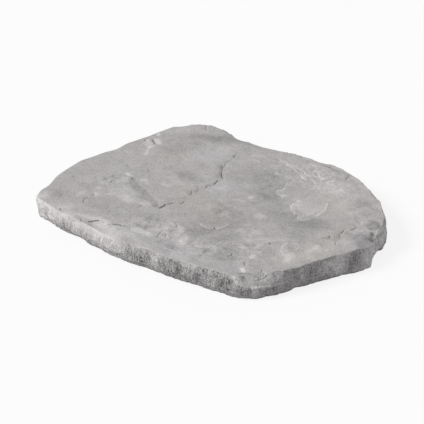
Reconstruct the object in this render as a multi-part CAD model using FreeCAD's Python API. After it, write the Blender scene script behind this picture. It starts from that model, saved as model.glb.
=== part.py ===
"""A cast-concrete garden stepping stone, in millimetres: a flat base, rock-faced sides and a riven top."""

import FreeCAD, Part
import math
import os
import random

from FreeCAD import Vector

# Overall sizes
LENGTH = 500.0
WIDTH = 400.0
THICKNESS = 38.0

# Section of the side: its widest line, and how far the base arris and the rim stand in from that line
BELLY_HEIGHT = 20.0
BASE_SETBACK = 3.0
RIM_SETBACK = 4.5

# The base stands a little to the right of and behind the rim, because the sides aren't equally steep
BASE_SHIFT_RIGHT = 1.5
BASE_SHIFT_BACK = 6.5

# Rock face: length and depth of its broken facets, their rows up the side, and a row's wander in height
FACET_LENGTH = 21.0
FACET_DEPTH = 2.8
FACET_ROWS = 4
ROW_WANDER = 4.0
CASTING_SEED = 11

# Plan of the widest line, anticlockwise, as shares of half the length and half the width
FRONT_EDGE = [(-0.836, -0.94), (-0.67, -0.98), (-0.45, -0.99), (-0.21, -0.99), (-0.03, -0.985), (0.07, -0.95),
              (0.31, -0.925), (0.534, -0.845), (0.686, -0.8)]
RIGHT_END = [(0.75, -0.73), (0.815, -0.59), (0.89, -0.305), (0.948, -0.11), (1.0, 0.04), (1.01, 0.15),
             (0.99, 0.24), (0.976, 0.42), (0.898, 0.577)]
BACK_EDGE = [(0.728, 0.785), (0.605, 0.86), (0.502, 0.94), (0.326, 1.0), (0.17, 0.99), (-0.038, 0.945),
             (-0.246, 0.862), (-0.386, 0.862), (-0.51, 0.872), (-0.606, 0.9), (-0.718, 0.9)]
LEFT_END = [(-0.798, 0.82), (-0.852, 0.765), (-0.892, 0.685), (-0.922, 0.49), (-0.96, 0.19), (-0.98, -0.165),
            (-1.0, -0.3), (-0.988, -0.44), (-0.945, -0.66), (-0.9, -0.82)]

# Riven top: how far the walking face falls towards its edges, and the soft hollows in it
EDGE_FALL = 2.5
HOLLOWS = [  # centre as shares of half the length and half the width, radius, depth
    (0.45, 0.15, 110.0, 1.6),
    (-0.62, -0.25, 75.0, 1.0),
    (0.2, -0.55, 80.0, 1.0),
]
FACE_SPANS = 13
FACE_REACH = 1.1

# Clefts, where a thin layer has split off the right of a broken line: the line's points, as shares of half
# the length and half the width, the depth of the split at the line's middle, and how far it may reach
MAIN_CLEFT = [(-0.18, -0.46), (-0.17, -0.34), (-0.125, -0.285), (-0.17, -0.125), (-0.155, 0.025),
              (-0.145, 0.14), (-0.16, 0.225), (-0.21, 0.285), (-0.265, 0.38), (-0.32, 0.625)]
MAIN_CLEFT_DEPTH = 1.6
FRONT_CLEFT = [(-0.42, -0.97), (-0.37, -0.9), (-0.33, -0.865), (-0.265, -0.855), (-0.2, -0.82),
               (-0.13, -0.825)]
FRONT_CLEFT_DEPTH = 2.6
END_CLEFT = [(0.77, 0.07), (0.8, 0.15), (0.785, 0.22), (0.82, 0.25), (0.82, 0.35)]
END_CLEFT_DEPTH = 1.4
CLEFT_REACH = 95.0

# Conchoidal spalls knocked off the rim and off the base arris: bearing from the stone's middle, in degrees
# anticlockwise from the right, radius of the break, how far it bites, and the lift of its direction
RIM_SPALLS = [
    (-128.0, 90.0, 3.5, 48.0),
    (-88.0, 75.0, 3.0, 44.0),
    (-62.0, 70.0, 3.0, 42.0),
    (-36.0, 100.0, 7.0, 31.0),
    (11.0, 150.0, 5.5, 76.0),
    (42.0, 90.0, 3.0, 45.0),
    (78.0, 80.0, 3.0, 42.0),
    (122.0, 45.0, 4.0, 34.0),
    (146.0, 90.0, 3.0, 45.0),
    (178.0, 80.0, 3.0, 40.0),
    (214.0, 80.0, 1.5, 40.0),
]
BASE_SPALLS = [
    (-120.0, 70.0, 2.0, -38.0),
    (-65.0, 400.0, 2.4, -45.0),
    (-42.0, 120.0, 2.5, -45.0),
    (-22.0, 60.0, 2.0, -38.0),
    (13.0, 40.0, 8.0, -32.0),
    (60.0, 70.0, 3.0, -35.0),
    (100.0, 60.0, 3.0, -40.0),
    (165.0, 70.0, 3.5, -36.0),
]


def on_plan(shares):
    """A point of the plan, from its shares of half the length and half the width."""
    return Vector(shares[0] * LENGTH / 2, shares[1] * WIDTH / 2, 0)


def sides():
    """The straight runs of the widest line, as pairs of corners."""
    corners = [on_plan(shares) for shares in FRONT_EDGE + RIGHT_END + BACK_EDGE + LEFT_END]
    return list(zip(corners, corners[1:] + corners[:1]))


def stations():
    """Points about a facet's length apart round the widest line, each with the direction out of the stone."""
    ring = []
    for corner, following in sides():
        run = following - corner
        facets = max(1, round(run.Length / FACET_LENGTH))
        ring += [corner + run * (i / facets) for i in range(facets)]
    found = []
    for before, point, after in zip(ring[-1:] + ring[:-1], ring, ring[1:] + ring[:1]):
        along = (after - before).normalize()
        found.append((point, Vector(along.y, -along.x, 0)))
    return found


def on_side(point, outward, height):
    """A point of the widest line moved to its height: the section is a parabola down and another one up."""
    if height < BELLY_HEIGHT:
        share = (1 - height / BELLY_HEIGHT) ** 2
        shift = Vector(BASE_SHIFT_RIGHT, BASE_SHIFT_BACK, 0) * share
        return point + shift - outward * (BASE_SETBACK * share) + Vector(0, 0, height)
    share = ((height - BELLY_HEIGHT) / (THICKNESS - BELLY_HEIGHT)) ** 2
    return point - outward * (RIM_SETBACK * share) + Vector(0, 0, height)


def blank():
    """The stone before its top is split: broken facets from the level base to one row above the rim."""
    rough = random.Random(CASTING_SEED)
    ring = stations()
    sections = []
    for row in range(FACET_ROWS + 2):
        wander = ROW_WANDER if 0 < row <= FACET_ROWS else 0.0
        corners = []
        for point, outward in ring:
            height = row * THICKNESS / FACET_ROWS + wander * (rough.random() - 0.5)
            corners.append(on_side(point, outward, height) + outward * (FACET_DEPTH * (rough.random() - 0.5)))
        sections.append(Part.makePolygon(corners + corners[:1]))
    return Part.makeLoft(sections, True, True)


def face_height(x, y):
    """Height of the walking face: level, falling off towards the edges, with soft hollows."""
    height = THICKNESS - EDGE_FALL * ((2 * x / LENGTH) ** 4 + (2 * y / WIDTH) ** 4) / 2
    for share_x, share_y, radius, depth in HOLLOWS:
        away = (Vector(x, y, 0) - on_plan((share_x, share_y))).Length
        height -= depth * math.exp(-(away / radius) ** 2)
    return height


def above_face():
    """Everything above the walking face."""
    shares = [FACE_REACH * (i / FACE_SPANS - 0.5) for i in range(FACE_SPANS + 1)]
    spots = [[(LENGTH * i, WIDTH * j) for j in shares] for i in shares]
    surface = Part.BSplineSurface()
    surface.interpolate([[Vector(x, y, face_height(x, y)) for x, y in row] for row in spots])
    return surface.toShape().extrude(Vector(0, 0, THICKNESS))


def cleft(shares, depth):
    """A shallow dish that ends in a wall along the broken line and runs out on the right of it."""
    line = [on_plan(point) for point in shares]
    ends = line[-1] - line[0]
    right = Vector(ends.y, -ends.x, 0).normalize() * CLEFT_REACH
    outline = Part.makePolygon(line + [line[-1] + right, line[0] + right, line[0]])
    prism = Part.Face(outline).extrude(Vector(0, 0, 2 * THICKNESS))
    middle = line[0] + ends * 0.5
    radius = ((ends.Length / 2) ** 2 + depth ** 2) / (2 * depth)
    lowest = Vector(middle.x, middle.y, face_height(middle.x, middle.y) - depth)
    return prism.common(Part.makeSphere(radius, lowest + Vector(0, 0, radius)))


def spall(arris_height, bearing, radius, bite, lift):
    """The ball whose surface is one break in the arris at that height."""
    angle = math.radians(bearing)
    ray = Vector(math.cos(angle), math.sin(angle), 0)
    for corner, following in sides():
        run = following - corner
        before, after = ray.cross(corner).z, ray.cross(following).z
        if before <= 0 < after and corner.dot(ray) > 0:
            point = corner + run * (before / (before - after))
            outward = Vector(run.y, -run.x, 0).normalize()
            break
    rise = math.radians(lift)
    direction = outward * math.cos(rise) + Vector(0, 0, math.sin(rise))
    return Part.makeSphere(radius, on_side(point, outward, arris_height) + direction * (radius - bite))


def stepping_stone():
    """The finished stone, centred over its base."""
    breaks = [cleft(MAIN_CLEFT, MAIN_CLEFT_DEPTH), cleft(FRONT_CLEFT, FRONT_CLEFT_DEPTH),
              cleft(END_CLEFT, END_CLEFT_DEPTH)]
    breaks += [spall(THICKNESS, *entry) for entry in RIM_SPALLS]
    breaks += [spall(0.0, *entry) for entry in BASE_SPALLS]
    stone = blank().cut(above_face())
    for tool in breaks:
        stone = stone.cut(tool)
    solid = stone.Solids[0]
    middle = solid.optimalBoundingBox().Center
    solid.translate(Vector(-middle.x, -middle.y, 0))
    return solid


os.makedirs("parts", exist_ok=True)
solid = stepping_stone()
box = solid.optimalBoundingBox()
print("valid", solid.isValid(), "faces", len(solid.Faces), "volume", round(solid.Volume / 1e6, 3), "litres")
print("size", round(box.XLength, 2), round(box.YLength, 2), round(box.ZLength, 2))
solid.exportStep("parts/stepping_stone.step")
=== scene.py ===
"""Looks of the garden stepping stone: a slab of grey cast concrete with a riven top and rock-faced sides."""

import math

import bpy
import numpy as np
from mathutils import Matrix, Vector


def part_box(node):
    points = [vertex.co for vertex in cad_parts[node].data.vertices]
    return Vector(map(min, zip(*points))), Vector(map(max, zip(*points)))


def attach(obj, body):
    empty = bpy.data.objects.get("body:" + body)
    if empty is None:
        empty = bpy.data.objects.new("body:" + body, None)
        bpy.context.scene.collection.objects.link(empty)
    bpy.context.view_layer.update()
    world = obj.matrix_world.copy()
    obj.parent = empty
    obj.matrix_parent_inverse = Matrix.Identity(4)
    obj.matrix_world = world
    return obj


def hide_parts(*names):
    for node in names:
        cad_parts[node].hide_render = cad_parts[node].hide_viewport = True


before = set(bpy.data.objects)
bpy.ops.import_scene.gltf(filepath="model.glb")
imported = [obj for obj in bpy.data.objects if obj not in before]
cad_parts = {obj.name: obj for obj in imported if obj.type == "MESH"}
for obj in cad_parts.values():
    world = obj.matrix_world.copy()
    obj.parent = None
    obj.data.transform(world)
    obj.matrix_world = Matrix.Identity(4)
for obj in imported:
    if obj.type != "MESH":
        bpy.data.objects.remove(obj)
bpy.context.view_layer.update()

# Lengths below are millimetres in the stone's own frame, and one of them is this many metres
MM = 0.001

STONE_NODE = "stepping_stone"
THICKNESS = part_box(STONE_NODE)[1].z / MM

# Camera
VIEW_AZIMUTH = math.radians(42.0)
VIEW_ELEVATION = math.radians(29.3)
VIEW_DISTANCE = 2000.0
VIEW_TARGET = (-0.4, -23.6, 19.0)
VIEW_WIDTH = 640.0
SENSOR_WIDTH = 36.0

# Light: the sky's strength, the key light's direction, strength and apparent size, the floor's size and
# colour, and how much of the floor that the camera sees is plain white rather than lit
SKY_STRENGTH = 0.45
KEY_DIRECTION = (-0.47, -0.64, 0.61)
KEY_STRENGTH = 3.0
KEY_ANGLE = math.radians(25.0)
FLOOR_SIZE = 12000.0
FLOOR_COLOUR = (0.8, 0.8, 0.8, 1.0)
FLOOR_WHITE = 0.85
WHITE = (1.0, 1.0, 1.0, 1.0)

# Mesh: cells along each side of the square that becomes the walking face, rows down the side, and the shares
# of the outline at which the base has rings
FACE_CELLS = 224
SIDE_ROWS = 44
BASE_RINGS = (0.97, 0.9, 0.5)

# The loose cover that is drawn in onto the solid: its clearance, the radius of its rounded rim, the height of
# its lowest row, and the radius and heights of the rings that find the outline, the heights as shares of the
# thickness
COVER_CLEARANCE = 6.0
COVER_RIM = 12.0
LOWEST_ROW = 0.4
RING_RADIUS = 400.0
RING_HEIGHTS = (0.6, 0.4)

# Wear: smoothing passes over the whole skin, over the clefts and over the rolled rim; where the clefts' wear
# sets in, as shares of the outline inside the rim; how much of it open cracks keep off; and the heights over
# which the rolled rim sets in, in its form and in its finish
WEAR_PASSES = 2
CLEFT_WEAR_PASSES = 24
CLEFT_WORN_INSIDE = (0.04, 0.1)
CLEFT_KEPT = 0.4
ROLLED_PASSES = 60
ROLLED_HEIGHTS = (12.0, 26.0)
ROLLED_FINISH_HEIGHTS = (20.0, 33.0)

# Stretches of the rim that are rolled over and smooth: centre, half length, half width, turn in degrees and
# strength; then the share of the side's roughness that they lose, and their tone
ROLLED = [
    (-125, -195, 112, 26, 0, 1.0),
    (-228, -110, 24, 75, 0, 1.0),
    (-232, 20, 22, 80, 0, 0.6),
    (236, -10, 16, 34, -20, 0.7),
    (20, -188, 60, 16, 5, 0.4),
]
ROLLED_SMOOTH = 0.7
ROLLED_TONE = 0.04

# Where the side ends and the walking face begins: the upward share of the skin's normal. The rim is between
# them: it is the product of the two shares, scaled so that it is 1 midway
SIDE_NORMALS = (0.55, 0.9)
RIM_SCALE = 4

# Corners along each edge of the repeated cube of random numbers
LATTICE = 64

# The least lengths that directions are divided by
LEAST_NORMAL = 1e-6
LEAST_RADIUS = 1.0

# Relief of the walking face: size and height of its waves
FACE_WAVES = [(70.0, 0.45), (28.0, 0.25), (11.0, 0.1)]
WAVE_SEED = 0

# Relief of the rock-faced sides: size and height of the broken facets, the range of their depths as shares
# of that height, how much shorter in height they are read, so that they stand upright, and the share of them
# that the rim lacks; size, depth and random range of the pits; and sizes, depths and random range of the
# chips along the rim and the base arris, and how high those of the arris reach
FACETS = [(17.0, 0.7), (7.0, 0.4), (3.5, 0.25)]
FACET_DEPTHS = (-0.5, 0.5)
FACET_SEED = 10
FACET_STRETCH = 0.42
FACETS_AT_RIM = 0.5
PIT_SIZE = 4.5
PIT_DEPTH = 0.5
PIT_RANGE = (0.3, 0.75)
PIT_SEED = 20
CHIP_SIZES = (26.0, 9.0)
CHIP_DEPTH = 1.0
CHIP_RANGE = (0.1, 0.6)
CHIP_SEED = 21
BASE_CHIP_SIZE = 6.0
BASE_CHIP_HEIGHT = 6.0
BASE_CHIP_DEPTH = 1.4
BASE_CHIP_SEED = 22

# The corner's break: the slanting plane that it leaves, by its direction and its distance from the frame's
# origin, the places along it where it sets in, and the width of its arris; and the ledge that it ends at:
# points along the edge, how far from the line it reaches and the power of the bell that ends it there, the
# half height of its lip, the painted highlight along the lip and the share of the roughness that the break
# removes
CORNER_SLANT = (0.70, -0.52, 0.49)
CORNER_DISTANCE = 215.0
CORNER_OPENS = (-27.0, -14.0)
CORNER_ARRIS = 0.8
LEDGE = [(162, -158, 34), (169, -156, 27), (175, -154, 24), (183, -148, 22), (191, -141, 21),
         (198, -130, 20), (206, -118, 20)]
LEDGE_REACH = 13.0
LEDGE_EDGE = 4
LEDGE_LIP = 1.0
LEDGE_PAINTED_HIGHLIGHT = 0.4
LEDGE_EVENED = 0.5

# Swellings and dents of the rim and the side: centre on the plan, height, half length, half height and how
# far they stand out
SWELLS = [
    (-212, -186, 34, 24, 8, 2.2),
    (-212, -186, 14, 26, 9, -2.5),
    (-206, -188, 3, 26, 8, 3.0),
    (-228, -150, 32, 20, 16, -3.5),
    (-232, 66, 34, 60, 18, -3.0),
    (-120, -196, 3, 24, 8, -2.0),
    (62, -190, 3, 22, 8, -2.0),
    (183, -152, 3, 20, 8, 2.5),
    (212, -92, 34, 28, 8, 2.0),
    (252, 14, 8, 16, 10, 3.5),
    (254, 33, 2, 14, 8, 4.0),
    (247, 54, 9, 12, 8, 3.0),
    (244, 82, 4, 18, 9, -4.0),
    (190, 140, 34, 60, 14, 2.0),
]

# Open cracks in the walking face: strength, half width and points; then the depth and half width of their
# grooves, the share of the half width that is open, how far the strokes stray, how uneven their widths are,
# and how much painted shade darkens them
CRACKS = [
    (0.5, 0.8, [(-80, 127), (-77, 122)]),
    (1.0, 1.2, [(-75, 114), (-72, 108)]),
    (0.7, 1.2, [(-67, 82), (-63, 75)]),
    (0.5, 0.8, [(-71, 74), (-65, 66)]),
    (0.8, 0.9, [(-66, 75), (-57, 63)]),
    (0.8, 0.9, [(-57, 61), (-52, 56)]),
    (1.0, 1.4, [(-52, 56), (-47, 51), (-42, 46), (-39, 44)]),
    (1.0, 1.3, [(-39, 32), (-37, 28), (-36, 23), (-34, 19)]),
    (0.8, 1.1, [(-39, 10), (-38, 4)]),
    (0.5, 0.9, [(-50, -2), (-47, -7)]),
    (0.65, 0.9, [(-43, -8), (-40, -12), (-39, -17)]),
    (0.75, 1.0, [(-46, -19), (-42, -23), (-39, -30)]),
    (0.8, 1.0, [(-32, -51), (-30, -57)]),
    (0.6, 0.8, [(-33, -60), (-40, -65)]),
    (0.9, 1.4, [(-41, -66), (-43, -73)]),
    (1.0, 2.2, [(-46, -77), (-44, -82), (-44, -91)]),
    (0.5, 0.9, [(-77, 122), (-75, 114), (-72, 108), (-70, 95), (-67, 82)]),
    (0.5, 0.8, [(-34, 19), (-37, 14), (-39, 10)]),
    (0.8, 1.0, [(-30, -57), (-33, -60), (-40, -65), (-43, -73), (-46, -77)]),
    (1.0, 2.0, [(-95, -189), (-92, -184), (-88, -178), (-85, -176)]),
    (0.6, 0.9, [(-85, -175), (-82, -174), (-76, -175)]),
    (0.6, 1.0, [(-68, -174), (-65, -173)]),
    (0.8, 1.6, [(-62, -170), (-57, -167), (-50, -165)]),
    (0.6, 1.0, [(-46, -163), (-42, -164)]),
    (0.4, 0.8, [(-36, -161), (-31, -166), (-27, -171)]),
    (0.8, 1.2, [(-108, -192), (-103, -195)]),
    (0.9, 1.3, [(-156, -189), (-153, -191)]),
    (0.7, 1.4, [(-150, -126), (-147, -130)]),
    (0.8, 1.0, [(-150, -140), (-149, -147), (-145, -152), (-142, -155)]),
    (0.4, 1.0, [(-150, -139), (-145, -138)]),
    (0.4, 1.6, [(-187, -154), (-185, -160), (-182, -164)]),
    (0.6, 1.8, [(-173, -63), (-170, -66)]),
    (0.4, 1.6, [(-178, -77), (-171, -81)]),
    (0.7, 1.8, [(-160, -78), (-158, -83)]),
    (0.4, 1.2, [(-161, -92), (-155, -95)]),
    (0.6, 1.5, [(-144, -48), (-139, -55)]),
    (0.5, 1.3, [(-216, -106), (-213, -109)]),
    (0.4, 0.9, [(-167, -27), (-158, -32)]),
    (0.6, 1.0, [(-146, -12), (-142, -15), (-138, -18)]),
    (0.4, 1.0, [(-87, -36), (-84, -40)]),
    (0.8, 0.9, [(8, -110), (14, -117)]),
    (0.6, 1.2, [(14, -125), (16, -131)]),
    (0.8, 0.9, [(6, -140), (8, -147), (11, -154)]),
    (0.7, 1.2, [(15, -140), (19, -145)]),
    (0.5, 1.1, [(26, -140), (30, -144)]),
    (0.6, 1.5, [(-70, -104), (-67, -105)]),
    (0.5, 1.0, [(27, -45), (35, -50), (39, -51)]),
    (0.9, 1.3, [(54, -79), (58, -82)]),
    (0.5, 1.5, [(49, -158), (50, -163)]),
    (0.9, 1.6, [(141, -58), (144, -60)]),
    (0.6, 1.2, [(88, -134), (89, -141)]),
    (0.6, 1.3, [(93, -147), (92, -152)]),
    (0.9, 1.3, [(122, -119), (125, -121)]),
    (0.6, 1.0, [(125, -107), (128, -111)]),
    (0.9, 1.3, [(151, -125), (155, -128)]),
    (0.7, 1.2, [(164, -151), (175, -141), (182, -138), (187, -131)]),
    (0.6, 1.3, [(180, -122), (185, -128)]),
    (0.8, 1.2, [(206, 60), (206, 55), (205, 49)]),
    (0.8, 1.2, [(198, 41), (199, 37), (200, 32)]),
    (0.7, 1.1, [(200, 28), (203, 25), (206, 21)]),
    (0.8, 1.3, [(193, 14), (195, 12), (197, 9)]),
    (0.8, 1.0, [(211, 4), (214, 1)]),
    (0.35, 0.8, [(196, 10), (180, -8), (165, -22), (152, -30)]),
    (0.7, 1.1, [(119, 30), (122, 27)]),
    (0.7, 1.5, [(102, 182), (104, 175), (106, 168)]),
    (0.7, 1.3, [(-183, 166), (-181, 161), (-178, 157), (-173, 155)]),
    (0.6, 1.5, [(-166, 166), (-163, 163)]),
    (0.9, 1.3, [(-214, 68), (-207, 63), (-201, 60)]),
    (0.9, 1.3, [(-223, 59), (-220, 57)]),
    (0.5, 1.2, [(-148, 18), (-143, 14)]),
]
CRACK_DEPTH = 0.6
CRACK_GROOVE = 2.2
CRACK_OPEN = 0.7
CRACK_WANDER = 1.6
CRACK_UNEVEN = 1.5
CRACK_PAINTED_SHADE = 0.62

# Pale ridges, where the riven layers end: strength, half width and points, with the side that is painted
# lighter on the left; then their height, the stroke's share of the half width, how far the strokes stray, how
# uneven their widths are, how much paler they are, and the painted shading across them, lit on the left and
# shaded on the right, with the distance that it takes on each side
RIDGES = [
    (1.0, 1.3, [(94, 66), (94, 54), (97, 45), (104, 38), (110, 35), (116, 30)]),
    (0.8, 1.1, [(116, 30), (122, 27), (128, 24), (134, 22), (139, 25), (143, 34)]),
    (0.9, 1.5, [(144, 48), (144, 62), (142, 70), (139, 76), (136, 82), (132, 88)]),
    (0.5, 1.0, [(134, 40), (134, 50), (137, 60)]),
    (1.0, 1.2, [(46, 100), (49, 92), (53, 84), (55, 76), (51, 71), (52, 65), (58, 60), (66, 62)]),
    (0.8, 1.3, [(-15, 151), (2, 150), (11, 144), (18, 144), (24, 142), (31, 137), (40, 136), (47, 130),
                (54, 127), (62, 124)]),
    (0.9, 1.4, [(10, 153), (20, 149), (27, 149), (33, 145), (45, 143), (51, 139), (58, 137), (66, 131),
                (73, 130), (81, 124)]),
    (0.6, 1.0, [(26, 159), (38, 155), (48, 151), (60, 145), (72, 138), (84, 132)]),
    (1.0, 1.5, [(31, 172), (46, 170), (51, 164), (53, 158), (62, 156), (68, 150), (73, 145), (79, 146)]),
    (0.5, 1.0, [(-5, 160), (5, 162), (18, 163), (30, 160)]),
    (0.8, 1.1, [(82, 163), (88, 155), (90, 150), (89, 143)]),
    (0.6, 1.0, [(54, 189), (77, 184), (100, 179), (122, 172), (140, 162), (152, 150), (158, 143),
                (162, 137)]),
    (1.0, 1.4, [(204, 77), (208, 70)]),
    (1.0, 1.2, [(160, -42), (160, -50), (162, -57), (166, -63), (172, -66), (176, -69)]),
    (0.7, 1.1, [(182, -46), (181, -38), (174, -33), (166, -36), (161, -42)]),
    (0.5, 1.0, [(137, -53), (150, -42), (169, -27), (184, -3), (189, 13)]),
    (0.4, 1.0, [(163, -65), (167, -75), (171, -84)]),
    (0.9, 1.2, [(31, -85), (42, -87), (49, -86), (56, -83), (60, -79), (63, -70), (64, -58)]),
    (0.5, 1.0, [(22, -173), (39, -171), (56, -166), (74, -161), (95, -160), (114, -163)]),
    (0.4, 0.9, [(-40, -155), (-41, -145), (-40, -135), (-35, -122), (-24, -115)]),
    (0.9, 1.2, [(245, 48), (241, 58), (237, 68), (233, 80), (229, 93)]),
]
RIDGE_HEIGHT = 0.2
RIDGE_OPEN = 1.15
RIDGE_WANDER = 6.0
RIDGE_UNEVEN = 1.3
RIDGE_TONE = 0.36
RIDGE_PAINTED_SHADING = 0.1
RIDGE_SHADING_REACH = 2.0

# How far a line's strength reaches beside it and past its ends, and how soft and jagged a stroke's edge is
LINE_REACH = 7.0
END_FADE = 2.0
STROKE_EDGE = 0.45
STROKE_JAG = 1.2

# Rougher patches of the walking face, where the ends of many thin layers show: centre, half length, half
# width, turn in degrees and strength; then the sizes of the layers' pattern with their shares, the layers'
# count, how ragged they are, the share of a layer that is its pale end, the end's tone, and the painted
# shading over a layer, about its middle, that makes each layer read as a terrace
RIVEN = [
    (50, 140, 75, 32, -8, 1.0),
    (120, 140, 60, 30, -35, 0.5),
    (215, 95, 55, 22, -60, 0.7),
    (205, 10, 75, 22, 75, 0.4),
    (175, -55, 28, 28, 0, 0.4),
    (40, -130, 110, 26, 4, 0.9),
    (120, -85, 45, 50, 0, 0.6),
    (20, -20, 45, 50, 0, 0.35),
    (-165, -90, 25, 45, 0, 0.5),
    (118, 45, 24, 22, 0, 0.5),
]
LAYER_SIZES = [(70.0, 1.0), (26.0, 0.4), (10.0, 0.16)]
LAYER_COUNT = 7.0
LAYER_SEED = 40
LAYER_RAGGED = 0.5
LAYER_END = 0.18
LAYER_TONE = 0.16
LAYER_PAINTED_SHADING = 0.12
LAYER_MIDDLE = 0.5

# Soft clouds in the walking face's colour, partly its own mottling and partly painted light and shade of its
# undulations: centre, half length, half width, turn in degrees and tone
FACE_CLOUDS_AND_SHADING = [
    (-145, 138, 42, 16, 28, -0.27),
    (-160, 85, 32, 25, 10, -0.13),
    (-165, 50, 30, 20, 0, -0.07),
    (-85, 12, 26, 15, 0, -0.18),
    (-205, 97, 12, 6, 10, -0.10),
    (-100, 160, 40, 8, 0, -0.16),
    (5, 82, 45, 28, 0, -0.17),
    (50, 45, 42, 15, -5, -0.14),
    (118, 20, 52, 18, 0, -0.18),
    (160, 20, 30, 22, 42, -0.15),
    (45, -52, 42, 42, 0, -0.19),
    (45, -103, 48, 14, 3, -0.15),
    (88, -85, 20, 18, 0, -0.11),
    (118, -125, 18, 22, 0, -0.14),
    (-65, -118, 60, 13, 0, -0.08),
    (-110, -148, 30, 14, 0, -0.07),
    (-178, -105, 16, 25, 0, -0.09),
    (-195, -153, 16, 10, 15, -0.14),
    (171, 120, 22, 18, 0, -0.17),
    (231, 40, 13, 15, 0, -0.14),
    (130, -10, 60, 18, 0, -0.10),
    (235, 62, 16, 40, 15, -0.14),
    (-130, 130, 20, 13, 0, -0.08),
    (-95, 15, 28, 18, 0, -0.05),
    (45, 8, 22, 13, 0, -0.08),
    (5, 72, 26, 14, 0, -0.05),
    (105, -100, 20, 28, 0, -0.07),
    (160, -15, 22, 24, 0, -0.06),
    (95, 152, 30, 10, -10, -0.07),
    (36, 134, 15, 8, -10, 0.10),
    (150, 132, 10, 12, 0, 0.08),
    (-205, 130, 20, 32, 0, 0.08),
    (-105, 100, 26, 45, 0, 0.10),
    (-115, -92, 42, 14, -5, 0.11),
    (-185, -105, 20, 35, 0, 0.05),
    (110, 135, 46, 28, -10, 0.13),
    (116, 58, 27, 27, 0, 0.14),
    (150, 112, 14, 26, 20, 0.08),
    (203, -45, 40, 14, 72, 0.12),
    (222, 5, 25, 10, 65, 0.10),
    (170, 75, 30, 40, 0, 0.07),
    (55, -142, 42, 18, 3, 0.09),
    (-60, -183, 80, 9, 3, 0.18),
    (-110, -182, 110, 12, 0, 0.12),
    (-70, -182, 28, 9, 6, 0.10),
    (-209, -180, 13, 10, 0, 0.22),
    (-20, 25, 18, 25, 0, 0.07),
    (-8, -156, 26, 10, 15, 0.12),
]

# Crisp pale and dark flakes of the walking face: centre, half length, half width, turn in degrees and tone
FACE_FLAKES = [
    (-202, 68, 12, 5, -20, 0.30),
    (-216, 60, 5, 3, -10, 0.24),
    (-206, 50, 15, 8, -20, 0.17),
    (-195, 48, 4, 9, 0, 0.16),
    (-185, 21, 5, 3, -40, 0.26),
    (-190, 33, 12, 3, -65, 0.24),
    (-219, 87, 5, 3, 115, 0.42),
    (-216, 12, 9, 2, -35, 0.14),
    (-156, -45, 7, 4, 0, 0.34),
    (-172, -76, 3, 12, 0, -0.14),
    (-125, -41, 9, 5, 0, 0.17),
    (-112, -48, 10, 4, 10, 0.08),
    (-148, -65, 10, 12, 0, 0.11),
    (-128, -79, 15, 4, 5, 0.12),
    (-102, -103, 15, 9, 0, 0.14),
    (-132, -108, 9, 5, 40, 0.10),
    (-70, -97, 11, 6, -20, 0.13),
    (-160, -108, 5, 9, 20, 0.11),
    (-147, -123, 6, 4, -30, 0.13),
    (-165, -138, 5, 11, 25, 0.13),
    (-88, -33, 10, 6, 0, 0.13),
    (-56, -194, 36, 3, 4, 0.14),
    (-17, -158, 16, 7, 18, 0.18),
    (-33, -137, 5, 4, 30, 0.18),
    (-20, -118, 7, 4, 35, -0.13),
    (-28, -147, 13, 5, 20, -0.13),
    (25, -118, 11, 5, -20, 0.13),
    (45, -135, 7, 17, 25, 0.15),
    (70, -172, 16, 9, 0, 0.12),
    (45, -161, 10, 6, 0, -0.15),
    (37, -37, 4, 9, 25, 0.14),
    (80, -8, 9, 9, 0, 0.16),
    (148, -90, 4, 6, 0, 0.22),
    (148, -105, 4, 6, 0, 0.22),
    (135, -72, 4, 9, 10, 0.15),
    (115, -73, 6, 5, 0, 0.11),
    (122, -95, 7, 5, 0, 0.15),
    (105, -48, 9, 7, 0, 0.11),
    (86, -60, 4, 9, 0, 0.13),
    (187, -72, 5, 14, 25, 0.17),
    (197, -30, 4, 15, 5, 0.10),
    (163, -140, 7, 4, -50, 0.48),
    (120, -84, 8, 5, 15, -0.16),
    (128, -128, 8, 6, 0, -0.13),
    (88, -136, 4, 10, 0, -0.13),
    (171, -47, 7, 11, 15, -0.12),
    (13, 100, 14, 8, 15, -0.10),
    (36, 74, 4, 3, 0, -0.18),
    (33, 46, 13, 6, 0, -0.06),
    (60, 42, 14, 9, -15, -0.06),
    (34, 25, 5, 6, 0, 0.18),
    (28, 7, 8, 4, 10, 0.14),
    (69, 62, 5, 7, 0, 0.20),
    (54, 126, 8, 4, -20, 0.16),
    (-33, 124, 6, 3, -10, 0.22),
    (-45, 138, 13, 5, 10, 0.10),
    (-18, 20, 7, 12, -20, 0.11),
    (-25, 0, 6, 3, 0, 0.16),
    (16, 113, 6, 3, 0, 0.14),
    (79, 145, 4, 3, 0, 0.25),
    (92, 66, 6, 7, 0, 0.14),
    (222, 81, 12, 13, 0, -0.24),
    (223, 80, 6, 6, 0, 0.20),
    (230, 84, 8, 4, 60, -0.16),
    (237, 55, 13, 5, -50, -0.28),
    (222, 42, 3, 13, 8, -0.12),
    (233, 40, 7, 8, 0, 0.08),
    (78, 183, 30, 3, 0, -0.16),
    (120, 177, 16, 3, -8, 0.14),
]

# Dark streaks of the walking face, painted shade of slopes turned from the light: tone, half width and points
PAINTED_SHADE_STREAKS = [
    (-0.19, 6.5, [(-140, -53), (-122, -66), (-104, -69), (-90, -79), (-70, -84), (-55, -90)]),
    (-0.08, 3.0, [(-112, -76), (-98, -84), (-84, -88)]),
]
SHADE_STREAK_EDGE = 1.0

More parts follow.
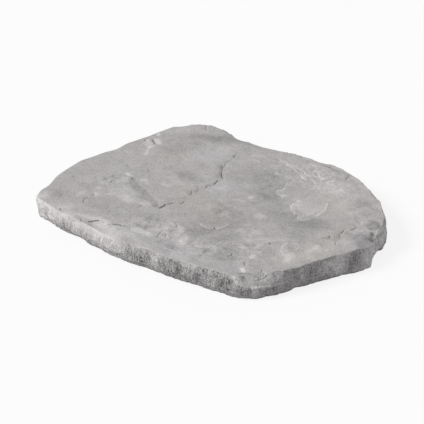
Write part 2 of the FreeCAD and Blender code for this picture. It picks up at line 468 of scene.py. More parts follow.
# Warmer and cooler patches of the walking face: centre, half length, half width, turn in degrees and strength
FACE_WARMTH = [
    (205, -42, 48, 18, 68, 0.6),
    (183, -75, 16, 18, 0, 0.4),
    (200, 25, 40, 24, 70, 0.4),
    (150, 90, 55, 45, 0, 0.3),
    (-30, -40, 45, 32, 0, 0.4),
    (-150, 60, 50, 60, 0, 0.3),
    (40, -40, 60, 50, 0, 0.25),
]
FACE_COOLNESS = [
    (-115, 90, 42, 22, 0, 0.8),
    (-14, 16, 20, 24, 0, 0.8),
    (-134, -92, 32, 11, 0, 0.5),
    (-12, -164, 32, 11, 5, 1.0),
    (60, -163, 36, 13, 0, 0.8),
    (-166, -48, 18, 14, 0, 0.6),
    (136, -146, 26, 13, -40, 0.8),
    (232, 34, 16, 24, 0, 0.8),
]

# Soft clouds in the sides' colour, each by centre on the plan, height, half length, half height and tone; the
# pale ones on the corner's break and on the right end are painted light on faces that the lamps leave darker
SIDE_CLOUDS_AND_PAINTED_LIGHT = [
    (-112, -198, 26, 105, 22, 0.19),
    (-112, -198, 36, 95, 6, 0.08),
    (-205, -190, 26, 40, 30, 0.32),
    (-141, -195, 14, 22, 13, -0.19),
    (-88, -196, 13, 14, 12, -0.19),
    (-60, -197, 8, 20, 6, -0.12),
    (-40, -198, 22, 18, 24, 0.14),
    (16, -190, 18, 16, 24, -0.24),
    (70, -186, 18, 26, 26, -0.15),
    (88, -182, 18, 48, 26, -0.12),
    (152, -166, 16, 22, 24, -0.28),
    # Painted light on the corner's break
    (188, -142, 31, 26, 10, 0.36),
    (208, -103, 14, 20, 20, -0.08),
    # Painted light on the right end, which faces away from the key light
    (236, -25, 18, 17, 14, 0.52),
    (251, 25, 6, 13, 8, 0.35),
    (249, 50, 20, 26, 22, 0.76),
    (240, 92, 22, 22, 24, 0.60),
]

# Crisper pale and dark patches of the sides: centre on the plan, height, half length, half height and tone;
# the pale one in the hollow beside the corner's break is painted light that offsets the shade there
SIDE_FLAKES_AND_PAINTED_LIGHT = [
    (-180, -193, 25, 6, 10, -0.34),
    (-155, -197, 6, 6, 4, -0.18),
    (-134, -197, 11, 5, 4, -0.20),
    (-127, -197, 33, 2.5, 2.5, -0.30),
    (-121, -197, 27, 4, 7, -0.20),
    (-111, -197, 22, 4, 12, 0.12),
    (-58, -197, 34, 34, 2.5, 0.14),
    (-83, -198, 7, 5, 4, -0.20),
    (-67, -198, 7, 5, 4, -0.20),
    (-62, -198, 24, 2.5, 3, -0.15),
    (-25, -197, 12, 18, 2.5, -0.25),
    (-6, -197, 31, 4, 8, -0.20),
    (18, -190, 15, 4, 10, -0.15),
    (26, -189, 27, 3, 12, -0.25),
    (40, -188, 26, 4, 13, 0.14),
    (80, -185, 20, 6, 14, -0.18),
    (110, -176, 18, 7, 15, -0.22),
    (127, -171, 22, 4, 16, 0.16),
    (138, -168, 31, 3, 3, -0.20),
    (155, -165, 27, 6, 8, -0.10),
    (165, -160, 36, 4, 3, 0.40),
    (171, -157, 28, 5, 3, 0.24),
    (178, -154, 25, 5, 2.5, 0.22),
    # Painted light in the shaded hollow beside the corner's break
    (172, -151, 31, 9, 8, 0.18),
    (178, -155, 16, 8, 8, -0.22),
    (188, -146, 12, 5, 9, 0.34),
    (198, -128, 12, 11, 7, -0.20),
    (208, -103, 24, 8, 7, 0.12),
    (213, -86, 22, 5, 10, -0.14),
    (215, -78, 22, 3, 10, 0.16),
    (221, -62, 24, 12, 12, -0.12),
    (221, -64, 6, 7, 4, -0.16),
    (229, -43, 22, 4, 12, 0.16),
    (247, 4, 23, 12, 12, -0.26),
    (245, -2, 10, 3, 4, -0.25),
    (246, 68, 24, 4, 8, -0.25),
]

# How crisp a patch's outline is: the power of its bell, for clouds, and for flakes of the face and the sides
CLOUD_EDGE = 3.0
FLAKE_EDGE = 8.0
SIDE_FLAKE_EDGE = 6.0

# How far in and out from its place a patch of the sides reaches, and the power of its bell that way
SIDE_PATCH_DEPTH = 15.0
SIDE_DEPTH_EDGE = 4

# How strongly the face's flakes show
FLAKES_SHOW = 1.35

# Sizes of the wander in a patch's outline, and how far it goes, for clouds and for flakes
CLOUD_WANDERS = [(19.0, 8.0), (7.0, 3.5)]
FLAKE_WANDERS = [(9.0, 3.0)]
WANDER_SEEDS = (31, 32, 33)

# Concrete: colours of the walking face, of its warmer and cooler patches and of the broken sides; then the
# tones of the sides, of their facets and pits (painted light on what stands out and painted shade in the
# hollows), of the rim (paler for wear and for a painted highlight) and of the side's foot (painted light that
# lifts the shade near the floor), and how high the foot reaches
FACE_COLOUR = (0.400, 0.384, 0.382, 1.0)
WARM_COLOUR = (0.420, 0.397, 0.377, 1.0)
COOL_COLOUR = (0.394, 0.386, 0.391, 1.0)
SIDE_COLOUR = (0.405, 0.387, 0.389, 1.0)
SIDE_TONE = -0.1
FACET_LIGHT_AND_SHADE_TONE = 0.1
RIM_WEAR_AND_HIGHLIGHT_TONE = 0.08
# Painted light at the side's foot, which lifts the shade near the floor
BASE_PAINTED_LIGHT = 0.18
BASE_PAINTED_LIGHT_HEIGHT = 9.0

# Patterns in the concrete: how many there are to the metre, and the noise's detail, roughness and distortion;
# then the middle of the noise's range
CLOUDY = (26.0, 5.0, 0.6, 1.5)
MOTTLED = (85.0, 4.0, 0.6, 1.2)
SCABS = (95.0, 3.0, 0.55, 1.0)
GRAIN = (380.0, 3.0, 0.7, 0.0)
STREAKY = (280.0, 3.0, 0.65, 0.8)
CRUMB = (420.0, 2.0, 0.6, 0.0)
RAGGED = (160.0, 3.0, 0.6, 0.0)
JAGGED = (420.0, 2.0, 0.6, 0.0)
WAVY = (80.0, 3.0, 0.6, 0.0)
BROKEN = (90.0, 3.0, 0.6, 0.0)
NOISE_MIDDLE = 0.5

# Dots in the concrete: how many there are to the metre, their radius as a share of their spacing, and the
# level of a wider noise above which they are kept; then that noise's count as a share of theirs, its detail,
# roughness and distortion, the softness of its edge, and the share of a dot's radius that is full
SIDE_PITS = (230.0, 0.34, -0.02)
PINHOLES = (62.0, 0.07, 0.06)
FLECKS = (150.0, 0.3, 0.0)
DOT_CHOICE_SCALE = 0.4
DOT_CHOICE = (1.0, 0.5, 0.0)
DOT_CHOICE_EDGE = 0.06
DOT_CORE = 0.5

# Levels between which the pale and the dark scabs set in, and between which ridges and layers are broken up,
# with the least share that is left of them
PALE_SCABS = (0.06, 0.1)
DARK_SCABS = (-0.12, -0.08)
BROKEN_LEVELS = (-0.12, 0.1)
BROKEN_LEAST = 0.6

# The streaks: how much shorter in height their pattern is read, so that they stand upright, the direction
# that the hacked side faces, how squarely a side has to face it, and the share that the other sides have
STREAK_STRETCH = 0.25
HACKED_SIDE = (0.0, -1.0)
HACKED_FACING = (0.5, 0.85)
STREAKS_ELSEWHERE = 0.5

# How much each pattern changes the tone, the share of the scabs outside riven patches, how much more
# mottling the riven patches have, and the share of the side pits that smooth stretches keep; the side pits'
# and the pinholes' tones are painted shade in those holes
CLOUDY_TONE = 0.42
MOTTLED_TONE = 0.40
SCAB_TONE = 0.07
SCABS_ELSEWHERE = 0.4
RIVEN_MORE = 1.2
GRAIN_TONE = 0.95
STREAK_TONE = 1.8
CRUMB_TONE = 1.5
SIDE_PIT_SHADE = 0.35
PITS_ON_SMOOTH = 0.4
PINHOLE_SHADE = 0.30
FLECK_TONE = 0.14

# Bump: its strength, its depth, and how much each pattern adds to or takes from its height
BUMP_STRENGTH = 0.7
BUMP_DEPTH = 1.5
GRAIN_BUMP = 0.5
CRUMB_BUMP = 1.6
RIDGE_BUMP = 0.3
LAYER_BUMP = 0.2
FLECK_BUMP = 0.2
CRACK_BUMP = 0.8
SIDE_PIT_BUMP = 0.6
PINHOLE_BUMP = 0.5

# Gloss: the specular level, the roughness, and how much the grain changes that
SPECULAR_LEVEL = 0.3
ROUGHNESS = 0.9
GRAIN_ROUGHNESS = 0.15

# Numbers of a colour mix's sockets: its share, its two colours and its result
MIX_SHARE = 0
MIX_FIRST = 6
MIX_SECOND = 7
MIX_RESULT = 2


class Shade:
    """A socket of a material as a value: its operators add Math nodes, and node() adds any other kind."""

    def __init__(self, tree, socket=None):
        self.tree = tree
        self.socket = socket

    def node(self, kind, settings, inputs, output=0):
        """A node of that kind, with its settings made first and its sockets set or linked, as one output."""
        made = self.tree.nodes.new(kind)
        for name, value in settings.items():
            setattr(made, name, value)
        for name, value in inputs.items():
            if isinstance(value, Shade):
                self.tree.links.new(value.socket, made.inputs[name])
            else:
                made.inputs[name].default_value = value
        return Shade(self.tree, made.outputs[output] if made.outputs else None)

    def maths(self, operation, first, second):
        """A Math node of two values."""
        return self.node("ShaderNodeMath", {"operation": operation}, {0: first, 1: second})

    def __add__(self, other):
        return self.maths("ADD", self, other)

    def __radd__(self, other):
        return self.maths("ADD", other, self)

    def __sub__(self, other):
        return self.maths("SUBTRACT", self, other)

    def __rsub__(self, other):
        return self.maths("SUBTRACT", other, self)

    def __mul__(self, other):
        return self.maths("MULTIPLY", self, other)

    def __rmul__(self, other):
        return self.maths("MULTIPLY", other, self)

    def __abs__(self):
        return self.maths("ABSOLUTE", self, 0.0)


def noise(points, size, seed):
    """Smooth random values from -1 to 1: random numbers on a repeated cube of corners, eased in between by
    6t^5 - 15t^4 + 10t^3."""
    lattice = np.random.default_rng(seed).uniform(-1, 1, (LATTICE, LATTICE, LATTICE))
    spot = points / size
    low = np.floor(spot).astype(int)
    share = spot - low
    share = share ** 3 * (share * (share * 6 - 15) + 10)
    total = np.zeros(len(points))
    for corner in np.ndindex(2, 2, 2):
        weight = np.prod(np.where(corner, share, 1 - share), axis=1)
        total += weight * lattice[tuple(((low + corner) % LATTICE).T)]
    return total


def facets(points, size, seed):
    """Heights of broken facets: each point takes the depth and tilt of the nearest of the scattered seeds."""
    random = np.random.default_rng(seed)
    scatter = random.uniform(0, 1, (LATTICE, LATTICE, LATTICE, 3))
    tilt = random.uniform(-1, 1, (LATTICE, LATTICE, LATTICE, 3))
    depth = random.uniform(*FACET_DEPTHS, (LATTICE, LATTICE, LATTICE))
    spot = points / size
    low = np.floor(spot).astype(int)
    nearest = np.full(len(points), np.inf)
    height = np.zeros(len(points))
    for step in np.ndindex(3, 3, 3):
        cell = low + step - 1
        place = tuple((cell % LATTICE).T)
        away = spot - cell - scatter[place]
        distance = np.sum(away ** 2, axis=1)
        height = np.where(distance < nearest, depth[place] + np.sum(away * tilt[place], axis=1), height)
        nearest = np.minimum(distance, nearest)
    return height


def octaves(made, points, listed, seed):
    """Sum of noise or facets at the listed sizes: each is its height times a pattern with its own seed."""
    return sum(height * made(points, size, seed + i) for i, (size, height) in enumerate(listed))


def eased(value, start, end):
    """0 before start, 1 after end, and a smooth step in between."""
    share = np.clip((value - start) / (end - start), 0, 1)
    return share * share * (3 - 2 * share)


def strayed(points, wanders):
    """The points moved by smooth random steps, so that what is laid out on them gets a wandering outline."""
    moved = points.copy()
    for size, far in wanders:
        moved += far * np.stack([noise(points, size, seed) for seed in WANDER_SEEDS], axis=-1)
    return moved


def line_field(spots, lines):
    """Signed distance to the nearest broken line, its half width, and its strength: a bell that fades past
    the line's ends."""
    nearest = np.full(len(spots), np.inf)
    offset = np.zeros(len(spots))
    widths = np.zeros(len(spots))
    strength = np.zeros(len(spots))
    for weight, width, line in lines:
        corners = np.array(line, float)
        last = len(corners) - 2
        for i, (start, end) in enumerate(zip(corners[:-1], corners[1:])):
            length = np.linalg.norm(end - start)
            ahead = (end - start) / length
            along = (spots - start) @ ahead
            across = (spots - start) @ (-ahead[1], ahead[0])
            past = along - np.clip(along, 0, length)
            distance = np.hypot(across, past)
            overrun = (i == 0) * np.maximum(-past, 0) + (i == last) * np.maximum(past, 0)
            closer = distance < nearest
            fade = weight * np.exp(-(overrun / END_FADE) ** 2 - (distance / LINE_REACH) ** 2)
            nearest = np.where(closer, distance, nearest)
            offset = np.where(closer, np.copysign(distance, across), offset)
            widths = np.where(closer, width, widths)
            strength = np.where(closer, fade, strength)
    return offset, widths, strength


def grooves(spots):
    """How deep the open cracks' grooves are: a bell across each crack."""
    offset, _, strength = line_field(spots, CRACKS)
    return strength * np.exp(-(offset / CRACK_GROOVE) ** 2)


def painted_shade_streaks(spots):
    """Sum of the painted shade streaks: each is its tone within its half width of a broken line, with a soft
    edge.
    """
    total = np.zeros(len(spots))
    for tone, width, line in PAINTED_SHADE_STREAKS:
        offset, _, _ = line_field(spots, [(1.0, width, line)])
        total += tone * (1 - eased(abs(offset), width - SHADE_STREAK_EDGE, width + SHADE_STREAK_EDGE))
    return total


def patches(spots, listed, edge):
    """Sum of oval patches: each is its strength times a bell over its two turned half sizes, flatter at a
    high edge."""
    total = np.zeros(len(spots))
    for x, y, length, width, turn, strength in listed:
        angle = math.radians(turn)
        away = spots - (x, y)
        along = away @ (math.cos(angle), math.sin(angle)) / length
        across = away @ (-math.sin(angle), math.cos(angle)) / width
        total += strength * np.exp(-np.hypot(along, across) ** edge)
    return total


def side_patches(points, normals, listed, edge):
    """Sum of patches on the sides: each is its strength times a bell over its distance along the side and in
    height, near its place on the plan."""
    outward = normals[:, :2] / np.linalg.norm(normals[:, :2], axis=1, keepdims=True).clip(LEAST_NORMAL)
    total = np.zeros(len(points))
    for x, y, z, length, height, strength in listed:
        away = points[:, :2] - (x, y)
        along = (away[:, 1] * outward[:, 0] - away[:, 0] * outward[:, 1]) / length
        depth = np.sum(away * outward, axis=1) / SIDE_PATCH_DEPTH
        up = (points[:, 2] - z) / height
        total += strength * np.exp(-np.hypot(along, up) ** edge - depth ** SIDE_DEPTH_EDGE)
    return total


def ledge_field(points):
    """Height over the corner's ledge, and how near it is: a bell over the distance on the plan."""
    corners = np.array(LEDGE, float)
    nearest = np.full(len(points), np.inf)
    rise = np.zeros(len(points))
    for start, end in zip(corners[:-1], corners[1:]):
        run = end - start
        share = np.clip((points - start)[:, :2] @ run[:2] / (run[:2] @ run[:2]), 0, 1)
        beside = points - start - share[:, None] * run
        distance = np.hypot(beside[:, 0], beside[:, 1])
        rise = np.where(distance < nearest, beside[:, 2], rise)
        nearest = np.minimum(distance, nearest)
    return rise, np.exp(-(nearest / LEDGE_REACH) ** LEDGE_EDGE)


def rolled(points, heights):
    """How much of the rolled rim is at each point: its patches on the plan, setting in over those heights."""
    share = np.clip(patches(points[:, :2], ROLLED, CLOUD_EDGE), 0, 1)
    return share * eased(points[:, 2], *heights)


def new_mesh(name, points, faces):
    """An object at the origin with these points, in millimetres, and faces."""
    mesh = bpy.data.meshes.new(name)
    mesh.from_pydata(points * MM, [], faces)
    made = bpy.data.objects.new(name, mesh)
    bpy.context.scene.collection.objects.link(made)
    return made


def drawn_in(points, faces, passes):
    """Points of a loose cover drawn in along its normals onto the solid, then smoothed, and their normals."""
    cover = new_mesh("cover", points, faces)
    wrap = cover.modifiers.new("wrap", "SHRINKWRAP")
    wrap.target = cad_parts[STONE_NODE]
    wrap.wrap_method = "PROJECT"
    wrap.use_negative_direction = True
    wrap.use_positive_direction = False
    wear = cover.modifiers.new("wear", "SMOOTH")
    wear.iterations = passes
    evaluated = cover.evaluated_get(bpy.context.evaluated_depsgraph_get())
    mesh = evaluated.to_mesh()
    found = np.empty(len(points) * 3)
    normals = np.empty(len(points) * 3)
    mesh.vertices.foreach_get("co", found)
    mesh.vertex_normals.foreach_get("vector", normals)
    evaluated.to_mesh_clear()
    bpy.data.objects.remove(cover)
    return found.reshape(-1, 3) / MM, normals.reshape(-1, 3)


def strips(rows):
    """Quads between rows of point numbers, closed round each row, facing outwards when rows run downwards."""
    ahead = np.roll(rows, -1, axis=1)
    return np.stack([rows[:-1], rows[1:], ahead[1:], ahead[:-1]], axis=-1).reshape(-1, 4)


def face_disc():
    """The walking face as a disc of radius 1: each square ring of a grid becomes a circle at even angles."""
    line = np.linspace(-1, 1, FACE_CELLS + 1)
    across, along = np.meshgrid(line, line, indexing="ij")
    wide = abs(across) >= abs(along)
    reach = np.where(wide, across, along)
    other = np.where(wide, along, across)
    turn = np.pi / 4 * np.divide(other, reach, out=np.zeros_like(other), where=reach != 0)
    angle = np.where(wide, turn, np.pi / 2 - turn)
    return (reach * np.cos(angle)).ravel(), (reach * np.sin(angle)).ravel()


def face_numbers():
    """Point numbers of the walking face's square grid."""
    return np.arange((FACE_CELLS + 1) ** 2).reshape(FACE_CELLS + 1, FACE_CELLS + 1)


def face_quads():
    """Quads of the square grid, facing up."""
    number = face_numbers()
    corners = [number[:-1, :-1], number[1:, :-1], number[1:, 1:], number[:-1, 1:]]
    return np.stack(corners, axis=-1).reshape(-1, 4)


def face_rim():
    """Point numbers round the square grid's edge, anticlockwise."""
    number = face_numbers()
    return np.concatenate([number[:-1, 0], number[-1, :-1], number[:0:-1, -1], number[0, :0:-1]])


def outline_radius(angles):
    """Distance from the middle to the side at about half height: rings of points drawn in onto the side."""
    flat = RING_RADIUS * np.stack([np.cos(angles), np.sin(angles)], axis=-1)
    heights = THICKNESS * np.array(RING_HEIGHTS)
    points = np.concatenate([np.column_stack([flat, np.full(len(flat), height)]) for height in heights])
    rows = np.arange(len(points)).reshape(len(heights), -1)
    found, _ = drawn_in(points, strips(rows).tolist(), 0)
    return np.hypot(found[:, 0], found[:, 1]).reshape(len(heights), -1).max(axis=0)


def cover():
    """A loose cover over the stone, and the numbers of its rows of points from the rim down: a disc shaped to
    the outline, a quarter round at the rim and upright sides."""
    disc_x, disc_y = face_disc()
    rim = face_rim()
    rim_angle = np.arctan2(disc_y[rim], disc_x[rim])
    order = np.argsort(rim_angle)
    radius = outline_radius(rim_angle[order])
    angle = np.arctan2(disc_y, disc_x)
    outline = np.interp(angle, rim_angle[order], radius, period=2 * np.pi)
    top = THICKNESS + COVER_CLEARANCE
    inner = outline + COVER_CLEARANCE - COVER_RIM
    face = np.stack([disc_x * inner, disc_y * inner, np.full_like(inner, top)], axis=-1)
    quarter = COVER_RIM * np.pi / 2
    length = np.linspace(0, quarter + top - COVER_RIM - LOWEST_ROW, SIDE_ROWS + 1)[1:, None]
    turn = np.minimum(length / COVER_RIM, np.pi / 2)
    reach = inner[rim] + COVER_RIM * np.sin(turn)
    height = top - COVER_RIM * (1 - np.cos(turn)) - np.maximum(length - quarter, 0)
    height = np.broadcast_to(height, reach.shape)
    side = np.stack([np.cos(rim_angle) * reach, np.sin(rim_angle) * reach, height], axis=-1)
    rows = np.concatenate([rim[None], len(face) + np.arange(reach.size).reshape(reach.shape)])
    return np.concatenate([face, side.reshape(-1, 3)]), rows


def worn(loose, rows, skin):
    """The skin drawn in onto the solid, with its normals: lightly worn all over, more at the clefts, away
    from the rim and from the open cracks, and most where the rim is rolled over."""
    quads = skin.tolist()
    points, normals = drawn_in(loose, quads, WEAR_PASSES)
    reach = np.hypot(loose[:, 0], loose[:, 1])
    angle = np.arctan2(loose[:, 1], loose[:, 0])
    rim = rows[0][np.argsort(angle[rows[0]])]
    inside = 1 - reach / np.interp(angle, angle[rim], reach[rim], period=2 * np.pi)
    cleft_share = eased(inside, *CLEFT_WORN_INSIDE) * (1 - CLEFT_KEPT * grooves(points[:, :2]))
    rim_share = rolled(points, ROLLED_HEIGHTS) * (1 - eased(inside, *CLEFT_WORN_INSIDE))
    smooth, _ = drawn_in(loose, quads, CLEFT_WEAR_PASSES)
    points = points + (smooth - points) * cleft_share[:, None]
    smooth, smooth_normals = drawn_in(loose, quads, ROLLED_PASSES)
    points = points + (smooth - points) * rim_share[:, None]
    normals = normals + (smooth_normals - normals) * rim_share[:, None]
    return points, normals / np.linalg.norm(normals, axis=1, keepdims=True)


def reshaped(points, normals):
    """The skin and its normals with the rim's swellings and dents, and with the corner broken off: what lies
    beyond the slanting plane and above the ledge is moved back onto the plane."""
    points = points.copy()
    ray = points[:, :2] / np.linalg.norm(points[:, :2], axis=1, keepdims=True).clip(LEAST_RADIUS)
    points[:, :2] += ray * side_patches(points, points, SWELLS, CLOUD_EDGE)[:, None]
    slant = np.array(CORNER_SLANT) / np.linalg.norm(CORNER_SLANT)
    rise, _ = ledge_field(points)
    along = points[:, :2] @ (-slant[1], slant[0]) / math.hypot(slant[0], slant[1])
    beyond = np.maximum(points @ slant - CORNER_DISTANCE, 0) * eased(along, *CORNER_OPENS)
    above = eased(rise, -LEDGE_LIP, LEDGE_LIP)
    turned = eased(beyond, 0, CORNER_ARRIS) * above
    points -= slant * (beyond * above)[:, None]
    normals = normals + (slant - normals) * turned[:, None]
    return points, normals / np.linalg.norm(normals, axis=1, keepdims=True)


def relief(points, normals):
    """Height of the fine relief along the normals at each point of the skin, and named values of the finish:
    sums of waves, facets, pits, chips, lines and patches, each times its share of the face, side or rim. The
    tone among them holds painted light and shade as well as the concrete's own colour."""
    spots = points[:, :2]
    side = 1 - eased(normals[:, 2], *SIDE_NORMALS)
    face = 1 - side
    rim = RIM_SCALE * side * face
    smooth = rolled(points, ROLLED_FINISH_HEIGHTS)
    rise, ledge = ledge_field(points)
    upper = ledge * eased(rise, -LEDGE_LIP, LEDGE_LIP)
    rough = side * (1 - ROLLED_SMOOTH * smooth) * (1 - LEDGE_EVENED * upper)
    far = strayed(points, CLOUD_WANDERS)
    near = strayed(points, FLAKE_WANDERS)
    crack_offset, crack_width, crack = line_field(spots, CRACKS)
    ridge_offset, ridge_width, ridge = line_field(spots, RIDGES)
    waves = octaves(noise, points, FACE_WAVES, WAVE_SEED)
    upright = points * (1, 1, FACET_STRETCH)
    breaks = octaves(facets, upright, FACETS, FACET_SEED)
    pits = eased(noise(upright, PIT_SIZE, PIT_SEED), *PIT_RANGE)
    chips = sum(eased(noise(points, size, CHIP_SEED), *CHIP_RANGE) for size in CHIP_SIZES)
    base_chips = eased(noise(points, BASE_CHIP_SIZE, BASE_CHIP_SEED), *CHIP_RANGE)
    base_chips *= 1 - eased(points[:, 2], 0, BASE_CHIP_HEIGHT)
    breaks *= 1 - FACETS_AT_RIM * rim
    height = face * (waves + RIDGE_HEIGHT * ridge - CRACK_DEPTH * grooves(spots))
    height += rough * (breaks - PIT_DEPTH * pits) - side * BASE_CHIP_DEPTH * base_chips
    height -= rim * CHIP_DEPTH * chips * (1 - smooth) * (1 - ledge)
    flakes = FLAKES_SHOW * patches(near[:, :2], FACE_FLAKES, FLAKE_EDGE)
    # Painted shade: the streaks stand for slopes turned from the light, and the face's clouds are partly
    # painted light and shade of its undulations
    tone = face * (patches(far[:, :2], FACE_CLOUDS_AND_SHADING, CLOUD_EDGE) + flakes + painted_shade_streaks(near[:, :2]))
    # Painted light and shade: the rim's pale edge, partly wear and partly a highlight, and the facets lighter
    # where they stand out and darker in their hollows and pits
    tone += RIM_WEAR_AND_HIGHLIGHT_TONE * rim + ROLLED_TONE * smooth * side + rough * FACET_LIGHT_AND_SHADE_TONE * (breaks - pits)
    # The sides' clouds hold painted light as well as the concrete's own tone
    tone += side * (SIDE_TONE + side_patches(far, normals, SIDE_CLOUDS_AND_PAINTED_LIGHT, CLOUD_EDGE))
    # The sides' flakes include painted light in the hollow beside the corner's break
    tone += side * side_patches(near, normals, SIDE_FLAKES_AND_PAINTED_LIGHT, SIDE_FLAKE_EDGE)
    # Painted light that lightens the side's foot against the shade near the floor
    tone += side * BASE_PAINTED_LIGHT * (1 - eased(points[:, 2], 0, BASE_PAINTED_LIGHT_HEIGHT))
    # A painted highlight along the ledge's lip
    tone += side * LEDGE_PAINTED_HIGHLIGHT * ledge * np.exp(-(rise / LEDGE_LIP) ** 2)
    hacked = eased(normals[:, :2] @ HACKED_SIDE, *HACKED_FACING)
    finish = {
        "tone": tone,
        "side": side,
        "rough": rough,
        "streaked": STREAKS_ELSEWHERE + (1 - STREAKS_ELSEWHERE) * hacked,
        "warm": face * patches(far[:, :2], FACE_WARMTH, CLOUD_EDGE),
        "cool": face * patches(far[:, :2], FACE_COOLNESS, CLOUD_EDGE),
        "riven": face * patches(far[:, :2], RIVEN, CLOUD_EDGE),
        "layers": LAYER_COUNT * octaves(noise, points, LAYER_SIZES, LAYER_SEED),
        "crack": crack * face,
        "crack_offset": crack_offset,
        "crack_width": crack_width,
        "ridge": ridge * face,
        "ridge_offset": ridge_offset,
        "ridge_width": ridge_width,
    }
    return height, finish


def stone():
    """The stone's whole skin: the worn solid's surface moved along its normals by the relief, and a flat base
    of rings that shrink to a point."""
    loose, rows = cover()
    skin = np.concatenate([face_quads(), strips(rows)])
    points, normals = reshaped(*worn(loose, rows, skin))
    height, finish = relief(points, normals)
    points = points + normals * height[:, None]
    points[:, 2] = np.maximum(points[:, 2], 0)
    points[rows[-1], 2] = 0.0
    edge = points[rows[-1]]
    base = np.concatenate([edge * share for share in BASE_RINGS] + [np.zeros((1, 3))])
    rings = len(points) + np.arange(len(base) - 1).reshape(len(BASE_RINGS), -1)
    base_rows = np.concatenate([rows[-1:], rings])
    middle = np.full_like(base_rows[-1], len(points) + len(base) - 1)
    fan = np.stack([base_rows[-1], middle, np.roll(base_rows[-1], -1)], axis=-1)
    faces = np.concatenate([skin, strips(base_rows)]).tolist() + fan.tolist()
    made = new_mesh("stepping_stone_concrete", np.concatenate([points, base]), faces)
    made.data.shade_smooth()
    for name, values in finish.items():
        layer = made.data.attributes.new(name, "FLOAT", "POINT")
        layer.data.foreach_set("value", np.concatenate([values, np.zeros(len(base))]))
    made.data.materials.append(concrete())
    return made


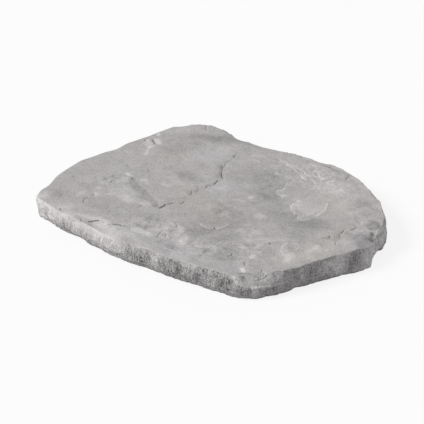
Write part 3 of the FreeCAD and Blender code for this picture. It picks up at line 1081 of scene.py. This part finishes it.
def concrete():
    """Matt grey cast concrete: the mesh's tone, which holds painted light and shade, with mottling, grain,
    cracks and ridges, and pitted sides; painted shade darkens the cracks and pits, and painted shading runs
    across the ridges and layers.
    """
    material = bpy.data.materials.new("concrete")
    material.use_nodes = True
    tree = material.node_tree
    shader = tree.nodes["Principled BSDF"]
    shade = Shade(tree)
    place = shade.node("ShaderNodeTexCoord", {}, {}, "Object")
    upright = shade.node("ShaderNodeMapping", {}, {"Vector": place, "Scale": (1.0, 1.0, STREAK_STRETCH)})

    def kept(name):
        """A value that the mesh keeps at its points."""
        return shade.node("ShaderNodeAttribute", {"attribute_name": name}, {}, "Fac")

    def pattern(vector, scale, detail, roughness, distortion):
        """Noise about 0."""
        values = {"Scale": scale, "Detail": detail, "Roughness": roughness, "Distortion": distortion}
        return shade.node("ShaderNodeTexNoise", {}, {"Vector": vector, **values}) - NOISE_MIDDLE

    def step(value, start, end, first, last):
        """The first value before start, the last one after end, and a smooth step in between."""
        limits = {"Value": value, "From Min": start, "From Max": end, "To Min": first, "To Max": last}
        return shade.node("ShaderNodeMapRange", {"interpolation_type": "SMOOTHSTEP"}, limits)

    def dots(scale, radius, level):
        """1 in scattered dots and 0 beside them, kept where a wider noise is above the level."""
        distance = shade.node("ShaderNodeTexVoronoi", {}, {"Vector": place, "Scale": scale}, "Distance")
        choice = pattern(place, DOT_CHOICE_SCALE * scale, *DOT_CHOICE)
        chosen = step(choice, level, level + DOT_CHOICE_EDGE, 0.0, 1.0)
        return step(distance, DOT_CORE * radius, radius, 1.0, 0.0) * chosen

    def stroke(name, opened, wander, unevenness):
        """A kept line's strength within its uneven width, and the distance from its straying middle."""
        strength = kept(name)
        offset = kept(name + "_offset") + wander + jagged * STROKE_JAG
        width = kept(name + "_width") * opened * strength * (1.0 + unevenness * uneven)
        return step(abs(offset) - width, -STROKE_EDGE, STROKE_EDGE, 1.0, 0.0) * strength, offset

    def mixed(share, first, second):
        """The first colour with a share of the second."""
        inputs = {MIX_SHARE: share, MIX_FIRST: first, MIX_SECOND: second}
        return shade.node("ShaderNodeMix", {"data_type": "RGBA"}, inputs, MIX_RESULT)

    side = kept("side")
    rough = kept("rough")
    riven = kept("riven")
    face = 1.0 - side
    ragged = pattern(place, *RAGGED)
    jagged = pattern(place, *JAGGED)
    uneven = pattern(place, *BROKEN)
    mottle = pattern(place, *CLOUDY) * CLOUDY_TONE + pattern(place, *MOTTLED) * MOTTLED_TONE
    scabs = pattern(place, *SCABS)
    scabs = step(scabs, *PALE_SCABS, 0.0, 1.0) - step(scabs, *DARK_SCABS, 1.0, 0.0)
    grain = pattern(place, *GRAIN)
    streaks_upright = pattern(upright, *STREAKY) * kept("streaked")
    crumb = streaks_upright * STREAK_TONE + pattern(place, *CRUMB) * CRUMB_TONE
    # The side pits and pinholes are darkened below as painted shade in the holes
    side_pits = dots(*SIDE_PITS) * (PITS_ON_SMOOTH * side + (1.0 - PITS_ON_SMOOTH) * rough)
    pinholes = dots(*PINHOLES) * face
    flecks = dots(*FLECKS) * riven
    broken = step(uneven, *BROKEN_LEVELS, BROKEN_LEAST, 1.0)
    crack, _ = stroke("crack", CRACK_OPEN, ragged * CRACK_WANDER, CRACK_UNEVEN)
    ridge, ridge_offset = stroke("ridge", RIDGE_OPEN, pattern(place, *WAVY) * RIDGE_WANDER, RIDGE_UNEVEN)
    ridge = ridge * broken
    # Painted shading across each ridge: lighter on its left and darker on its right
    ridge_shading = step(ridge_offset, -RIDGE_SHADING_REACH, RIDGE_SHADING_REACH, -1.0, 1.0) * kept("ridge")
    layer = shade.maths("FRACT", kept("layers") + ragged * LAYER_RAGGED, 0.0)
    layer_end = step(layer, 0.0, LAYER_END, 1.0, 0.0) * broken
    level = 1.0 + kept("tone") + face * mottle * (1.0 + RIVEN_MORE * riven) + grain * GRAIN_TONE
    level = level + rough * crumb + flecks * FLECK_TONE + face * scabs * (SCABS_ELSEWHERE + riven) * SCAB_TONE
    level = level + ridge * RIDGE_TONE + ridge_shading * RIDGE_PAINTED_SHADING
    # Painted shading over each layer: lighter at its pale end and darker towards the next
    level = level + riven * (layer_end * LAYER_TONE + (LAYER_MIDDLE - layer) * LAYER_PAINTED_SHADING)
    # Painted shade darkens the cracks, the side pits and the pinholes
    for dark, tone in ((crack, CRACK_PAINTED_SHADE), (side_pits, SIDE_PIT_SHADE), (pinholes, PINHOLE_SHADE)):
        level = level * (1.0 - dark * tone)
    tint = mixed(kept("warm"), FACE_COLOUR, WARM_COLOUR)
    tint = mixed(kept("cool"), tint, COOL_COLOUR)
    tint = mixed(side, tint, SIDE_COLOUR)
    colour = shade.node("ShaderNodeVectorMath", {"operation": "SCALE"}, {0: tint, "Scale": level})
    matt = ROUGHNESS + grain * GRAIN_ROUGHNESS
    height = grain * GRAIN_BUMP + rough * crumb * CRUMB_BUMP + ridge * RIDGE_BUMP
    height = height + riven * layer_end * LAYER_BUMP + flecks * FLECK_BUMP
    height = height - crack * CRACK_BUMP - side_pits * SIDE_PIT_BUMP - pinholes * PINHOLE_BUMP
    bump_inputs = {"Height": height, "Strength": BUMP_STRENGTH, "Distance": BUMP_DEPTH * MM}
    bump = shade.node("ShaderNodeBump", {}, bump_inputs, "Normal")
    for name, value in (("Base Color", colour), ("Roughness", matt), ("Normal", bump)):
        tree.links.new(value.socket, shader.inputs[name])
    shader.inputs["Specular IOR Level"].default_value = SPECULAR_LEVEL
    return material


def camera():
    """The camera at the photograph's place."""
    back = Vector((
        math.sin(VIEW_AZIMUTH) * math.cos(VIEW_ELEVATION),
        -math.cos(VIEW_AZIMUTH) * math.cos(VIEW_ELEVATION),
        math.sin(VIEW_ELEVATION),
    ))
    lens = bpy.data.cameras.new("camera")
    lens.sensor_width = SENSOR_WIDTH
    lens.lens = SENSOR_WIDTH * VIEW_DISTANCE / VIEW_WIDTH
    made = bpy.data.objects.new("camera", lens)
    made.location = (Vector(VIEW_TARGET) + back * VIEW_DISTANCE) * MM
    made.rotation_euler = back.to_track_quat("Z", "Y").to_euler()
    bpy.context.scene.collection.objects.link(made)
    bpy.context.scene.camera = made


def key_light():
    """A broad, even light from the left of the camera."""
    light = bpy.data.lights.new("key", "SUN")
    light.energy = KEY_STRENGTH
    light.angle = KEY_ANGLE
    made = bpy.data.objects.new("key", light)
    made.location = KEY_DIRECTION
    made.rotation_euler = Vector(KEY_DIRECTION).to_track_quat("Z", "Y").to_euler()
    bpy.context.scene.collection.objects.link(made)


def seen_directly(shade):
    """1 for what the camera, a gloss or a clear material sees, and 0 for light that only bounces."""
    path = shade.tree.nodes.new("ShaderNodeLightPath")
    names = ("Is Camera Ray", "Is Glossy Ray", "Is Transmission Ray")
    camera_ray, glossy_ray, clear_ray = (Shade(shade.tree, path.outputs[name]) for name in names)
    return shade.maths("MINIMUM", camera_ray + glossy_ray + clear_ray, 1.0)


def sky():
    """A world that is white where it is seen and a plain soft light elsewhere."""
    world = bpy.data.worlds.new("sky")
    bpy.context.scene.world = world
    world.use_nodes = True
    world.node_tree.nodes.clear()
    shade = Shade(world.node_tree)
    strength = seen_directly(shade) * (1.0 - SKY_STRENGTH) + SKY_STRENGTH
    light = shade.node("ShaderNodeBackground", {}, {"Color": WHITE, "Strength": strength})
    shade.node("ShaderNodeOutputWorld", {}, {"Surface": light})


def floor():
    """A pale floor that is nearly white where it is seen, and keeps the stone's shadow."""
    half = FLOOR_SIZE / 2
    points = np.array([(-half, -half, 0), (half, -half, 0), (half, half, 0), (-half, half, 0)])
    made = new_mesh("floor", points, [(0, 1, 2, 3)])
    material = bpy.data.materials.new("floor")
    material.use_nodes = True
    tree = material.node_tree
    tree.nodes.clear()
    shade = Shade(tree)
    lit = shade.node("ShaderNodeBsdfDiffuse", {}, {"Color": FLOOR_COLOUR})
    white = shade.node("ShaderNodeEmission", {}, {"Color": WHITE, "Strength": 1.0})
    mixed = shade.node("ShaderNodeMixShader", {}, {0: seen_directly(shade) * FLOOR_WHITE, 1: lit, 2: white})
    shade.node("ShaderNodeOutputMaterial", {}, {"Surface": mixed})
    made.data.materials.append(material)


camera()
piece = stone()
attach(piece, "root")
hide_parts(STONE_NODE)
sky()
floor()
key_light()
bpy.context.scene.view_settings.view_transform = "Standard"
